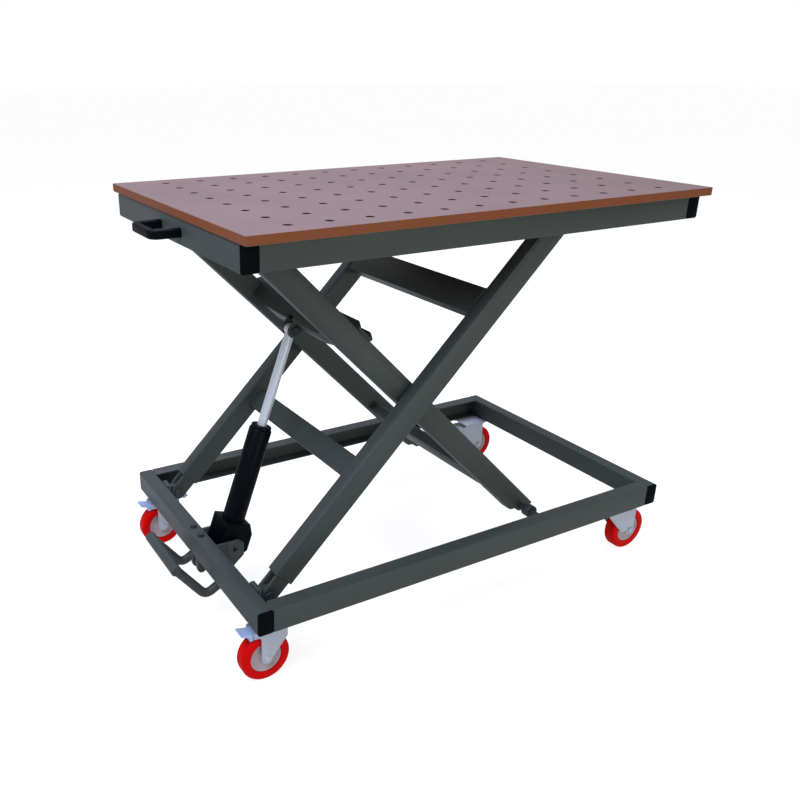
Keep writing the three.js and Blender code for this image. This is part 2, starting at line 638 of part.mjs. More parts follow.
const bracketParts = [
  box(backX, backX + BRACKET_T, -cheekOut, cheekOut, BASE_Z + TUBE_WALL, bracketTop),
  box(clevisX - CLEVIS_R, backX + BRACKET_T, -cheekOut, cheekOut, soleTop - SOLE_T, soleTop),
  barY(FOOT_X, FOOT_Z, PIN_D / 2, -cheekOut, cheekOut),
];
for (const sy of [-1, 1]) {
  const ys = [sy * cheekIn, sy * cheekOut].sort((p, q) => p - q);
  bracketParts.push(prismY(cheekShape, ys[0], ys[1]));
  const boss = [sy * (cheekOut - BOSS_T), sy * (cheekOut + BOSS_T)].sort((p, q) => p - q);
  bracketParts.push(barY(FOOT_X, FOOT_Z, BOSS_D / 2, boss[0], boss[1]));
  const clevis = [sy * CLEVIS_IN, sy * (CLEVIS_IN + CLEVIS_T)].sort((p, q) => p - q);
  bracketParts.push(prismY(clevisShape, clevis[0], clevis[1]));
}
const pedalBore = barY(PEDAL_X, PEDAL_Z, PEDAL_SHAFT_D / 2 + GAP, -cheekOut - BOSS_T, cheekOut + BOSS_T);
put('pump_bracket', cut(union(bracketParts), [pedalBore]), ...FRAME);

// Pedal: a bent bar on a shaft through the bracket
const pedalPoint = ([dx, dz], y) => [PEDAL_X + dx, y, PEDAL_Z + dz];
const pedalParts = [barY(PEDAL_X, PEDAL_Z, PEDAL_SHAFT_D / 2, -PEDAL_HALF, PEDAL_HALF)];
const barR = PEDAL_D / 2;
for (const sy of [-1, 1]) {
  const y = sy * PEDAL_HALF;
  const path = [[0, 0], PEDAL_KNEE, PEDAL_BEND, PEDAL_TREAD].map((p) => pedalPoint(p, y));
  pedalParts.push(barY(PEDAL_X, PEDAL_Z, barR + 4, y - barR, y + barR));
  for (let i = 0; i < 3; i += 1) {
    pedalParts.push(barTo(path[i], path[i + 1], barR));
    pedalParts.push(new THREE.SphereGeometry(barR, BAR_SIDES, 4).translate(...path[i + 1]));
  }
}
const [treadX, , treadZ] = pedalPoint(PEDAL_TREAD, 0);
pedalParts.push(barY(treadX, treadZ, TREAD_D / 2, -PEDAL_HALF - barR, PEDAL_HALF + barR, 12));
put('pedal', union(pedalParts), ...FRAME);

// Board with its grid of holes
const holes = [];
for (let i = 0; i < HOLE_COLS; i += 1) {
  for (let j = 0; j < HOLE_ROWS; j += 1) {
    const x = (i - (HOLE_COLS - 1) / 2) * HOLE_PITCH;
    const y = (j - (HOLE_ROWS - 1) / 2) * HOLE_PITCH;
    holes.push(arc(x, y, HOLE_D / 2, 0, 360 - 360 / HOLE_SIDES, HOLE_SIDES - 1));
  }
}
const boardShape = outline([[-BOARD_L / 2, -BOARD_W / 2], [BOARD_L / 2, -BOARD_W / 2],
  [BOARD_L / 2, BOARD_W / 2], [-BOARD_L / 2, BOARD_W / 2]], holes);
put('board', solid(prismZ(boardShape, BOARD_Z, BOARD_Z + BOARD_T)), COLOURS.board, 0, 0.6);

// Bridge handle on the left end of the upper frame
const handleX = -UPPER_L / 2 - GAP;
const gripX = handleX - HANDLE_REACH;
const inR = HANDLE_R - GRIP_T / 2;
const bow = outline([[handleX, -HANDLE_HALF], [handleX, -HANDLE_HALF + GRIP_T]].concat(
  arc(gripX + GRIP_T + inR, -HANDLE_HALF + GRIP_T + inR, inR, 270, 180, 3),
  arc(gripX + GRIP_T + inR, HANDLE_HALF - GRIP_T - inR, inR, 180, 90, 3),
  [[handleX, HANDLE_HALF - GRIP_T], [handleX, HANDLE_HALF]],
  arc(gripX + HANDLE_R, HANDLE_HALF - HANDLE_R, HANDLE_R, 90, 180, 4),
  arc(gripX + HANDLE_R, -HANDLE_HALF + HANDLE_R, HANDLE_R, 180, 270, 4)));
put('handle', solid(prismZ(bow, TOP_PIVOT_Z - HANDLE_H / 2, TOP_PIVOT_Z + HANDLE_H / 2)), ...BLACK);

// Castors, each swivelling under its plate with the wheel trailing outward; those on the left have brakes
const plateTop = BASE_Z - GAP;
const plateLow = plateTop - PLATE;
const crownZ = WHEEL_D + CROWN_RISE;
const brakeZ = crownZ - CROWN_T;
const forkIn = WHEEL_W / 2 + FORK_PLAY;
const forkOut = forkIn + FORK_T;

// Axle across a fork, with its heads
function axleParts(x, y) {
  return [
    barY(x, WHEEL_R, AXLE_D / 2, y - forkOut - AXLE_HEAD_T, y + forkOut + AXLE_HEAD_T),
    barY(x, WHEEL_R, AXLE_HEAD_D / 2, y - forkOut - AXLE_HEAD_T, y - forkOut + FORK_T / 2, BAR_SIDES),
    barY(x, WHEEL_R, AXLE_HEAD_D / 2, y + forkOut - FORK_T / 2, y + forkOut + AXLE_HEAD_T, BAR_SIDES),
  ];
}

function cheeks(profile, y) {
  const shape = outline(profile);
  return [prismY(shape, y - forkOut, y - forkIn), prismY(shape, y + forkIn, y + forkOut)];
}

function wheel(end, side, x, y) {
  const hubR = HUB_D / 2;
  const inner = AXLE_D / 2 + GAP;
  const boss = WHEEL_W / 2 - GAP;
  const rim = WHEEL_W / 2 - 3;
  const web = WHEEL_W / 5;
  const rimIn = hubR * 0.82;
  put(`hub_${end}_${side}`, solid(turned([[inner, -boss], [AXLE_BOSS_R, -boss], [AXLE_BOSS_R + 4, -web],
    [rimIn, -rim], [hubR, -rim], [hubR, rim], [rimIn, rim],
    [AXLE_BOSS_R + 4, web], [AXLE_BOSS_R, boss], [inner, boss]], x, y, WHEEL_R, WHEEL_SIDES)), ...ZINC);
  const half = WHEEL_W / 2;
  const bore = hubR + GAP;
  put(`tyre_${end}_${side}`, solid(turned([[bore, -half + 2], [bore + 4, -half], [WHEEL_R - 6, -half],
    [WHEEL_R, -half + 7], [WHEEL_R, half - 7], [WHEEL_R - 6, half], [bore + 4, half],
    [bore, half - 2]], x, y, WHEEL_R, WHEEL_SIDES)), COLOURS.tyre, 0, 0.7);
}

// Plate, fork and wheel at a corner; out is -1 on the left, and the fork's outline runs outward from the swivel
function castor(end, out, side, y) {
  const x = out < 0 ? SWIVEL_LEFT : SWIVEL_RIGHT;
  const at = (d) => x + out * d;
  const halfPlate = CASTOR_PLATE_W / 2;
  put(`caster_plate_${end}_${side}`, solid(box(x - CASTOR_PLATE_L / 2, x + CASTOR_PLATE_L / 2,
    y - halfPlate, y + halfPlate, plateLow, plateTop)), ...ZINC);
  // The cheeks stand straight up from the axle; the braked forks have an ear for the lever, the others a broad heel
  const edge = TRAIL + AXLE_BOSS_R;
  const inner = out < 0 ? FORK_IN_LEFT : FORK_IN_RIGHT;
  const drop = out < 0 ? FORK_DROP_LEFT : FORK_DROP_RIGHT;
  const heel = out < 0 ? [] : [[TRAIL - AXLE_BOSS_R - FORK_HEEL, WHEEL_R]];
  const ear = out < 0 ? [[BRAKE_BACK + BRAKE_EAR, crownZ], [BRAKE_BACK + BRAKE_EAR, brakeZ - BRAKE_EAR],
    [BRAKE_BACK - BRAKE_EAR, brakeZ - BRAKE_EAR], [edge, brakeZ - 2 * BRAKE_EAR]] : [[edge, crownZ]];
  const profile = arc(TRAIL, WHEEL_R, AXLE_BOSS_R, 0, -180, 6)
    .concat(heel, [[-inner, crownZ - drop], [-inner, crownZ]], ear);
  const ends = [at(-inner), at(edge - FORK_T)].sort((p, q) => p - q);
  const crown = box(ends[0], ends[1], y - forkOut, y + forkOut, crownZ - CROWN_T, crownZ);
  const head = barZ(x, y, SWIVEL_D / 2, crownZ - CROWN_T / 2, plateLow - GAP, WHEEL_SIDES);
  const parts = cheeks(profile.map(([d, z]) => [at(d), z]), y).concat([crown, head], axleParts(at(TRAIL), y));
  const bores = [];
  if (out < 0) {
    bores.push(barY(at(BRAKE_BACK), brakeZ, BRAKE_PIN_D / 2 + GAP, y - 2 * forkOut, y + 2 * forkOut, BAR_SIDES));
  }
  put(`swivel_fork_${end}_${side}`, cut(union(parts), bores), ...ZINC);
  wheel(end, side, at(TRAIL), y);
}

for (const [side, sy] of SIDES) {
  const y = sy * CASTOR_AT;
  for (const [end, out] of ENDS) castor(end, out, side, y);

  // Brake lever: a tab with a shoe over the tyre
  const brakeX = SWIVEL_LEFT - BRAKE_BACK;
  const t = PLATE;
  const tab = outline([[brakeX + 8, brakeZ - t], [brakeX + 8, brakeZ + t], [brakeX - 14, brakeZ + t],
    [brakeX - BRAKE_REACH, brakeZ + t + 6], [brakeX - BRAKE_REACH, brakeZ + 6], [brakeX - 16, brakeZ - 1],
    [brakeX - 14, brakeZ - 13], [brakeX - 6, brakeZ - 13], [brakeX - 4, brakeZ - t]]);
  put(`brake_lever_${side}`, union([prismY(tab, y - BRAKE_W / 2, y + BRAKE_W / 2),
    barY(brakeX, brakeZ, BRAKE_PIN_D / 2, y - forkOut, y + forkOut, BAR_SIDES)]), ...ZINC);
}

export default table;
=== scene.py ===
"""Dresses the scissor-lift assembly table: finishes for the solids, finer round pieces, fasteners and welds."""

import json
import math

import bmesh
import bpy
import numpy as np
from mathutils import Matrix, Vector


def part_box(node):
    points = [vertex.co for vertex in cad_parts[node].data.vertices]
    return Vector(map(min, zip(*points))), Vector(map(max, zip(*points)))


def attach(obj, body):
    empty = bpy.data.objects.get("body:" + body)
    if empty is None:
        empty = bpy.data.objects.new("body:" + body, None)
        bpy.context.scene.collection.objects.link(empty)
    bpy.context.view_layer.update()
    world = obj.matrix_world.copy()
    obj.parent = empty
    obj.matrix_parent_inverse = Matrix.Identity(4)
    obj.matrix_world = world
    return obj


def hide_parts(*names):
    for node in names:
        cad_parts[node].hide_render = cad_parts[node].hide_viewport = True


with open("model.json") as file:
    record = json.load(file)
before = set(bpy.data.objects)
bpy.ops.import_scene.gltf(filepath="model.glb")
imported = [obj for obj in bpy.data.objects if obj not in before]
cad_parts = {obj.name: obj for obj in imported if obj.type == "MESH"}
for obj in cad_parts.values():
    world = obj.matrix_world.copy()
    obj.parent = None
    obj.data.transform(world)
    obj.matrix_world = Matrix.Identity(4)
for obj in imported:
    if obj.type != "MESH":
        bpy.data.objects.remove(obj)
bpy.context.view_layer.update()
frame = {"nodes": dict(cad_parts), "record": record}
NODES = frame["nodes"]
MM = 0.001

# Places on the table in millimetres, as the solids have them. The shift centres the table's length on the origin
SHIFT = 36.25
LIFT, LOWERED = math.radians(45.0), math.radians(13.0)
LOWERED_RUN = 1128.0
PIVOT_X, PIVOT_Z = -568.0 + SHIFT, 188.0
LEG = LOWERED_RUN / math.cos(LOWERED)
TOP_Z = PIVOT_Z + LEG * math.sin(LIFT)
ROLL_X = PIVOT_X + LEG * math.cos(LIFT)
CENTRE = np.array([(PIVOT_X + ROLL_X) / 2, 0.0, (PIVOT_Z + TOP_Z) / 2])
ACROSS = np.array([0.0, 1.0, 0.0])
UP = np.array([0.0, 0.0, 1.0])
LENGTH = np.array([1.0, 0.0, 0.0])
OUTER = (np.array([math.cos(LIFT), 0.0, math.sin(LIFT)]), np.array([-math.sin(LIFT), 0.0, math.cos(LIFT)]))
INNER = (np.array([math.cos(LIFT), 0.0, -math.sin(LIFT)]), np.array([math.sin(LIFT), 0.0, math.cos(LIFT)]))
OUTER_Y, INNER_Y, HALF_LEG = 293.0, 244.0, 20.0
FOOT = np.array([-540.0 + SHIFT, 0.0, 169.0])
EYE = CENTRE - 220.0 * INNER[0] - 40.0 * INNER[1]
REACH = float(np.linalg.norm(EYE - FOOT))
ALONG_ROD = (EYE - FOOT) / REACH
BESIDE_ROD = np.cross(ACROSS, ALONG_ROD)
PEDAL_AT = np.array([-585.0 + SHIFT, 0.0, 114.0])
SIDES = (("near", -1.0), ("far", 1.0))
CORNERS = [(end, side) for end in ("left", "right") for side in ("near", "far")]


def on_leg(leg, along, across, out):
    """A point in a leg's own axes: along it from the scissor's centre, across the table and out from its middle."""
    return CENTRE + along * leg[0] + across * ACROSS + out * leg[1]


# Finishes


def to_linear(code):
    """Linear RGBA from an sRGB hex string."""
    s = np.array([int(code[i:i + 2], 16) for i in (1, 3, 5)]) / 255.0
    lin = np.where(s <= 0.04045, s / 12.92, ((s + 0.055) / 1.055) ** 2.4)
    return (*lin.tolist(), 1.0)


def add_node(tree, kind, links=(), **settings):
    """Adds a node, sets its properties and numbered or named inputs, and links outputs into its inputs."""
    made = tree.nodes.new(kind)
    for key, value in settings.items():
        if key == "inputs":
            for slot, number in value.items():
                made.inputs[slot].default_value = number
        else:
            setattr(made, key, value)
    for output, slot in links:
        tree.links.new(output, made.inputs[slot])
    return made


def shader_of(name, rough, metal=0.0, gloss=0.5):
    """An empty finish: its node tree and its shader, with roughness, metal and reflection set on the shader."""
    mat = bpy.data.materials.new(name)
    mat.use_nodes = True
    shader = mat.node_tree.nodes["Principled BSDF"]
    for socket, value in (("Roughness", rough), ("Metallic", metal), ("Specular IOR Level", gloss)):
        shader.inputs[socket].default_value = value
    return mat, mat.node_tree, shader


def two_tones(tree, source, first, second):
    """A pattern that goes from the first tone to the second while the source runs over the middle of its range."""
    share = add_node(tree, "ShaderNodeMapRange", [(source, "Value")], inputs={"From Min": 0.3, "From Max": 0.7})
    blend = add_node(tree, "ShaderNodeMix", [(share.outputs[0], 0)], data_type="RGBA", inputs={6: first, 7: second})
    return blend.outputs[2]


def finish_of(name, colour, rough, metal=0.0, gloss=0.5, grain_mm=4.0, bump=0.05, tint=0.06):
    """A finish with a grain of its own: noise of the given size lifts the surface, a wide cloud shifts the tone."""
    cloud_mm = 180.0
    mat, tree, shader = shader_of(name, rough, metal, gloss)
    where = add_node(tree, "ShaderNodeTexCoord")
    grain = add_node(tree, "ShaderNodeTexNoise", [(where.outputs["Object"], "Vector")],
                     inputs={"Scale": 1000.0 / grain_mm, "Detail": 3.0, "Roughness": 0.55})
    cloud = add_node(tree, "ShaderNodeTexNoise", [(where.outputs["Object"], "Vector")],
                     inputs={"Scale": 1000.0 / cloud_mm, "Detail": 2.0})
    base = np.array(to_linear(colour)[:3])
    tones = [(*(base * k).tolist(), 1.0) for k in (1 - tint, 1 + tint)]
    tree.links.new(two_tones(tree, cloud.outputs["Fac"], *tones), shader.inputs["Base Color"])
    lift = add_node(tree, "ShaderNodeBump", [(grain.outputs["Fac"], "Height")],
                    inputs={"Strength": bump, "Distance": 0.001})
    tree.links.new(lift.outputs["Normal"], shader.inputs["Normal"])
    return mat


# Powder-coated steel: cured powder leaves a faint orange peel about 3 mm across and a satin sheen
POWDER_COAT = finish_of("powder_coated_steel", "#383e3b", 0.5, gloss=0.22, grain_mm=3.0, bump=0.07)
# Weld metal under the same paint: rough enough that the bead reads as a dull line
PAINTED_WELD = finish_of("powder_coated_weld", "#323735", 0.6, gloss=0.2, grain_mm=1.5, bump=0.12)
# Moulded polyethylene plugs: a spark-eroded mould gives an even fine texture that kills the shine
BLACK_PLUG = finish_of("moulded_black_polyethylene", "#04060a", 0.6, gloss=0.03, grain_mm=1.6, bump=0.08)
# Moulded polyamide: a little glossier than the plugs, so that its round edges catch a thin light
HANDLE_NYLON = finish_of("moulded_black_polyamide", "#04060b", 0.45, gloss=0.05, grain_mm=1.4, bump=0.06)
# Black enamel on the cylinder: smooth, so a soft streak of light runs down the barrel
BLACK_ENAMEL = finish_of("black_enamel_on_steel", "#03050a", 0.4, gloss=0.06, grain_mm=6.0, bump=0.03)
# Hard chrome, ground and oiled: pale and even, with the light drawn out along the rod
CHROME_ROD = finish_of("hard_chromed_steel", "#c3cad3", 0.38, metal=0.45, grain_mm=1.0, bump=0.01, tint=0.02)
# Zinc on pressed steel: pale and slightly cloudy, bluish in the light from above
ZINC_PLATE = finish_of("zinc_plated_steel", "#a8aeb8", 0.45, metal=0.3, gloss=0.3, grain_mm=5.0, bump=0.04)
# Zinc on the brake levers: the plating's colour is lightened and blued all over, painted light from the sky above
ZINC_PAINTED_SKY_BLUE = finish_of("zinc_painted_sky_blue", "#a2b6d6", 0.45, metal=0.3, gloss=0.3, grain_mm=5.0, bump=0.04)
# Phosphated fasteners: dark grey and dull, hardly brighter than the paint round them
DARK_STEEL = finish_of("phosphated_steel", "#33383a", 0.55, metal=0.5, grain_mm=1.5, bump=0.05)
# Turned rollers: bright, with fine tool marks
TURNED_STEEL = finish_of("turned_steel", "#9fa2a8", 0.34, metal=1.0, grain_mm=2.0, bump=0.03)
# Moulded grey hub: matt beside the zinc fork
GREY_HUB = finish_of("moulded_grey_polyamide", "#9e8f94", 0.5, gloss=0.25, grain_mm=2.0, bump=0.04)
# Cast polyurethane tread: a deep even red with a soft sheen on the shoulder
RED_TREAD = finish_of("cast_red_polyurethane", "#bd0000", 0.55, gloss=0.06, grain_mm=3.0, bump=0.04, tint=0.03)


def board_finish():
    """Film-faced plywood: a mauve-brown film on the faces, veneers in layers round the edge, and painted shade on the
    hole walls.
    """
    veneers_mm, rim_mm, peel_mm = 2.8, 2.0, 2.5
    mat, tree, shader = shader_of("film_faced_plywood", 0.5, gloss=0.18)
    where = add_node(tree, "ShaderNodeTexCoord")
    spot = where.outputs["Object"]
    cloud = add_node(tree, "ShaderNodeTexNoise", [(spot, "Vector")], inputs={"Scale": 6.0, "Detail": 4.0})
    film = two_tones(tree, cloud.outputs["Fac"], to_linear("#695551"), to_linear("#705a55"))
    # One wave is a light and a dark veneer, each drawn coarser than the real one so that it shows
    split = add_node(tree, "ShaderNodeSeparateXYZ", [(spot, "Vector")])
    wave = add_node(tree, "ShaderNodeMath", [(split.outputs["Z"], 0)], operation="MULTIPLY",
                    inputs={1: 2 * math.pi / (veneers_mm * MM)})
    layer = add_node(tree, "ShaderNodeMath", [(wave.outputs[0], 0)], operation="SINE")
    veneer = two_tones(tree, layer.outputs[0], to_linear("#673517"), to_linear("#7c431f"))
    # The rim is where either distance from the middle is near the board's half size
    low, high = (np.array(c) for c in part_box("board"))
    half, middle = (high - low) / 2, (high + low) / 2
    reach = []
    for axis, key in enumerate("XY"):
        off = add_node(tree, "ShaderNodeMath", [(split.outputs[key], 0)], operation="SUBTRACT",
                       inputs={1: float(middle[axis])})
        far = add_node(tree, "ShaderNodeMath", [(off.outputs[0], 0)], operation="ABSOLUTE")
        reach.append(add_node(tree, "ShaderNodeMath", [(far.outputs[0], 0)], operation="GREATER_THAN",
                              inputs={1: float(half[axis] - rim_mm * MM)}))
    rim = add_node(tree, "ShaderNodeMath", [(reach[0].outputs[0], 0), (reach[1].outputs[0], 1)],
                   operation="MAXIMUM")
    # Edge faces inside the rim are the hole walls: the near-black brown there is painted shade, while the rim keeps
    # its veneers
    veneer_rim_and_hole_shade = add_node(tree, "ShaderNodeMix", [(rim.outputs[0], 0), (veneer, 7)], data_type="RGBA",
                      inputs={6: to_linear("#2b1a1a")})
    shape = add_node(tree, "ShaderNodeNewGeometry")
    tilt = add_node(tree, "ShaderNodeSeparateXYZ", [(shape.outputs["True Normal"], "Vector")])
    flat = add_node(tree, "ShaderNodeMath", [(tilt.outputs["Z"], 0)], operation="ABSOLUTE")
    face = add_node(tree, "ShaderNodeMath", [(flat.outputs[0], 0)], operation="GREATER_THAN", inputs={1: 0.5})
    mix = add_node(tree, "ShaderNodeMix", [(face.outputs[0], 0), (veneer_rim_and_hole_shade.outputs[2], 6), (film, 7)],
                   data_type="RGBA")
    tree.links.new(mix.outputs[2], shader.inputs["Base Color"])
    peel = add_node(tree, "ShaderNodeTexNoise", [(spot, "Vector")], inputs={"Scale": 1000.0 / peel_mm, "Detail": 2.0})
    lift = add_node(tree, "ShaderNodeBump", [(peel.outputs["Fac"], "Height")],
                    inputs={"Strength": 0.05, "Distance": 0.001})
    tree.links.new(lift.outputs["Normal"], shader.inputs["Normal"])
    return mat


PLYWOOD = board_finish()
FINISH_OF_SLOT = {"frame": POWDER_COAT, "caps": BLACK_PLUG, "handle": HANDLE_NYLON, "cylinder": BLACK_ENAMEL,
                  "rod": CHROME_ROD, "zinc": ZINC_PLATE, "roller": TURNED_STEEL, "hub": GREY_HUB,
                  "tyre": RED_TREAD, "board": PLYWOOD}

for entry in frame["record"]["subparts"]:
    solid = NODES[entry["node"]]
    solid.data.materials.clear()
    solid.data.materials.append(FINISH_OF_SLOT[entry["material_slot"]])
# The roller axles are phosphated, unlike the bright rollers on them, and the brake levers get zinc with painted sky
# light
for side, _ in SIDES:
    for node, finish in (("lower_axle", DARK_STEEL), ("upper_axle", DARK_STEEL), ("brake_lever", ZINC_PAINTED_SKY_BLUE)):
        NODES[f"{node}_{side}"].data.materials[0] = finish


# Surfaces


def grid_faces(rows, cols, ring_rows=False, ring_cols=False):
    """Quads of a rows by cols grid of points, closed round in either direction where it says so."""
    r = np.arange(rows if ring_rows else rows - 1)
    c = np.arange(cols if ring_cols else cols - 1)
    rr, cc = np.meshgrid(r, c, indexing="ij")
    r2, c2 = (rr + 1) % rows, (cc + 1) % cols
    quads = np.stack([rr * cols + cc, rr * cols + c2, r2 * cols + c2, r2 * cols + cc], -1)
    return quads.reshape(-1, 4).tolist()


def joined(parts):
    """Several (points, faces) surfaces as one."""
    points, faces, start = [], [], 0
    for p, f in parts:
        points.append(np.asarray(p))
        faces += [[i + start for i in face] for face in f]
        start += len(p)
    return np.concatenate(points), faces


def beside(axis):
    """Two unit directions square to an axis and to each other."""
    axis = np.asarray(axis, float)
    side = np.cross(axis, [0.31, 0.52, 0.79])
    side /= np.linalg.norm(side)
    return side, np.cross(axis, side)


def turned(section, centre, axis, sides=48):
    """Surface of revolution: the closed loop of (radius, height) points is carried round the axis."""
    side, other = beside(axis)
    t = np.linspace(0, 2 * np.pi, sides, endpoint=False)[:, None, None]
    s = np.asarray(section, float)
    ring = np.cos(t) * side + np.sin(t) * other
    points = np.asarray(centre) + s[None, :, :1] * ring + s[None, :, 1:] * np.asarray(axis, float)
    return points.reshape(-1, 3), grid_faces(sides, len(s), ring_rows=True, ring_cols=True)


def disc(centre, axis, radius, start, end, edge=0.8, sides=40):
    """A round disc along an axis from start to end, with both rims chamfered by the edge."""
    return turned([[0.01, start], [radius - edge, start], [radius, start + edge], [radius, end - edge],
                   [radius - edge, end], [0.01, end]], centre, axis, sides)


def rounded_rectangle(width, height, radius, steps=5):
    """Closed loop: four quarter circles of the radius joined by the straight sides, counter-clockwise."""
    t = np.linspace(0, np.pi / 2, steps)
    loop = [np.stack([sx * (width / 2 - radius) + radius * np.cos(t + q * np.pi / 2),
                      sy * (height / 2 - radius) + radius * np.sin(t + q * np.pi / 2)], 1)
            for q, (sx, sy) in enumerate(((1, 1), (-1, 1), (-1, -1), (1, -1)))]
    return np.concatenate(loop)


def circle(radius, sides=24):
    """Closed loop at a constant distance from the middle."""
    t = np.linspace(0, 2 * np.pi, sides, endpoint=False)
    return radius * np.stack([np.cos(t), np.sin(t)], 1)


def prism(loop, origin, u, v, w, depth, edge=0.8):
    """A loop in the u-v plane carried along w for the depth; the loop is shrunk at each end to chamfer its rim."""
    loop = np.asarray(loop, float)
    mid = (loop.max(0) + loop.min(0)) / 2
    half = (loop.max(0) - loop.min(0)) / 2
    small = mid + (loop - mid) * (1 - edge / half)
    layers = [(small, 0.0), (loop, edge), (loop, depth - edge), (small, depth)]
    n = len(loop)
    points = np.concatenate([np.asarray(origin) + lay[:, :1] * u + lay[:, 1:] * v + h * np.asarray(w)
                             for lay, h in layers])
    return points, grid_faces(4, n, ring_cols=True) + [list(range(n)), list(range(3 * n, 4 * n))]


def swept(line, section, start_side, swell=None):
    """A section loop carried untwisted along a line of points, larger or smaller by the swell at each of them."""
    along = np.gradient(line, axis=0)
    along /= np.linalg.norm(along, axis=1)[:, None]
    side = np.asarray(start_side, float)
    loops = []
    for i, (point, way) in enumerate(zip(line, along)):
        side = side - way * np.dot(side, way)
        side /= np.linalg.norm(side)
        size = 1.0 if swell is None else swell[i]
        loops.append(point + size * (section[:, :1] * side + section[:, 1:] * np.cross(way, side)))
    n, m = len(line), len(section)
    return np.concatenate(loops), grid_faces(n, m, ring_cols=True) + [list(range(m)), list(range((n - 1) * m, n * m))]


def bent(path, bend, steps=7):
    """Points along a path, its corners rounded by quadratic curves that start the bend's length from each corner."""
    path = np.asarray(path, float)
    line = [path[0]]
    for a, b, c in zip(path[:-2], path[1:-1], path[2:]):
        into = b + (a - b) / np.linalg.norm(a - b) * min(bend, np.linalg.norm(a - b) / 2.1)
        out = b + (c - b) / np.linalg.norm(c - b) * min(bend, np.linalg.norm(c - b) / 2.1)
        t = np.linspace(0, 1, steps)[:, None]
        line += list((1 - t) ** 2 * into + 2 * t * (1 - t) * b + t ** 2 * out)
    return np.array(line + [path[-1]])


def to_piece(name, surface, finish, body, stands_for=()):
    """A mesh from a surface in millimetres, closed where points meet, smooth up to 40 degrees, riding its body."""
    points, faces = surface
    mesh = bpy.data.meshes.new(name)
    mesh.from_pydata((np.asarray(points) * MM).tolist(), [], faces)
    work = bmesh.new()
    work.from_mesh(mesh)
    bmesh.ops.remove_doubles(work, verts=work.verts, dist=0.02 * MM)
    bmesh.ops.recalc_face_normals(work, faces=work.faces)
    work.to_mesh(mesh)
    work.free()
    mesh.materials.append(finish)
    mesh.shade_smooth()
    mesh.set_sharp_from_angle(angle=math.radians(40))
    piece = bpy.data.objects.new(name, mesh)
    bpy.context.scene.collection.objects.link(piece)
    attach(piece, body)
    if stands_for:
        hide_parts(*stands_for)
    return piece


def box_of(node):
    """Lowest and highest corner of a solid, in millimetres."""
    return [np.array(c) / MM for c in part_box(node)]


# Work board


def work_board():
    """Each hole's cell is a fan of rings: from the cell's outline in to a chamfer, down the hole and out again below.

    A cell's outline is its square, stretched to the board's edge where it lies on it. The wall closes the edge.
    """
    low, high = box_of("board")
    cols, rows, pitch, hole, rim = 12, 8, 96.0, 10.0, 0.8
    mid, half = (low + high) / 2, (high - low) / 2
    t = np.linspace(0, 2 * np.pi, 32, endpoint=False)
    ring = np.stack([np.cos(t), np.sin(t)], 1)
    square = ring / np.abs(ring).max(1)[:, None]

    def stretch(unit, index, count, size, inset):
        edge = size - (count - 1) / 2 * pitch - inset
        left = edge if index == 0 else pitch / 2
        right = edge if index == count - 1 else pitch / 2
        return (index - (count - 1) / 2) * pitch + np.where(unit < 0, unit * left, unit * right)

    def layer(xy, z):
        return np.column_stack([mid[:2] + xy, np.full(len(xy), z)])

    parts = []
    for i in range(cols):
        for j in range(rows):
            at = np.array([(i - (cols - 1) / 2) * pitch, (j - (rows - 1) / 2) * pitch])
            outer = np.stack([stretch(square[:, 0], i, cols, half[0], rim),
                              stretch(square[:, 1], j, rows, half[1], rim)], 1)
            layers = [(outer, high[2]), (at + ring * (hole + rim), high[2]), (at + ring * hole, high[2] - rim),
                      (at + ring * hole, low[2] + rim), (at + ring * (hole + rim), low[2]), (outer, low[2])]
            parts.append((np.concatenate([layer(*part) for part in layers]), grid_faces(6, 32, ring_cols=True)))
    unit = np.tan(np.linspace(-np.pi / 4, np.pi / 4, 9))[:-1]

    def border(inset):
        xs = np.concatenate([stretch(unit, i, cols, half[0], inset) for i in range(cols)])
        ys = np.concatenate([stretch(unit, j, rows, half[1], inset) for j in range(rows)])
        x1, y1 = half[0] - inset, half[1] - inset
        return np.concatenate([np.column_stack([xs, np.full(len(xs), -y1)]),
                               np.column_stack([np.full(len(ys), x1), ys]),
                               np.column_stack([-xs, np.full(len(xs), y1)]),
                               np.column_stack([np.full(len(ys), -x1), -ys])])

    loops = [(border(rim), high[2]), (border(0.0), high[2] - rim), (border(0.0), low[2] + rim), (border(rim), low[2])]
    wall = np.concatenate([layer(*part) for part in loops])
    return joined(parts + [(wall, grid_faces(4, len(loops[0][0]), ring_cols=True))])


to_piece("work_board", work_board(), PLYWOOD, "top", ["board"])


# Wheels


def tread(node):
    """Tyre turned about the axle: a flat tread with quarter-round shoulders, and a bore over the hub."""
    low, high = box_of(node)
    r, half = (high - low)[2] / 2, (high - low)[1] / 2
    t = np.linspace(0, np.pi / 2, 6)
    shoulder, bore = 7.0, 40.3
    corner = np.stack([r - shoulder + shoulder * np.cos(t), half - shoulder + shoulder * np.sin(t)], 1)
    loop = np.concatenate([[[bore, -half + 2], [bore + 2, -half]], corner[::-1] * [1, -1], corner,
                           [[bore + 2, half], [bore, half - 2]]])
    return turned(loop, (low + high) / 2, ACROSS, 64)


def hub(node):
    """Hub turned about the axle: a boss, a thin web and a rim, mirrored about the wheel's middle."""
    low, high = box_of(node)
    side = np.array([[5.3, 17.7], [13, 17.7], [14, 16.7], [14.6, 13.2], [16, 12.4], [31, 12.4], [32.2, 13.2],
                     [32.8, 14.4], [33.6, 15], [39, 15], [40, 14]])
    return turned(np.concatenate([side[::-1], side * [1, -1]])[::-1], (low + high) / 2, ACROSS, 64)


for end, side in CORNERS:
    at = f"{end}_{side}"
    to_piece(f"tread_{at}", tread(f"tyre_{at}"), RED_TREAD, f"wheel_{at}", [f"tyre_{at}"])
    to_piece(f"disc_{at}", hub(f"hub_{at}"), GREY_HUB, f"wheel_{at}", [f"hub_{at}"])


# Cylinder, rod, handle and pedal


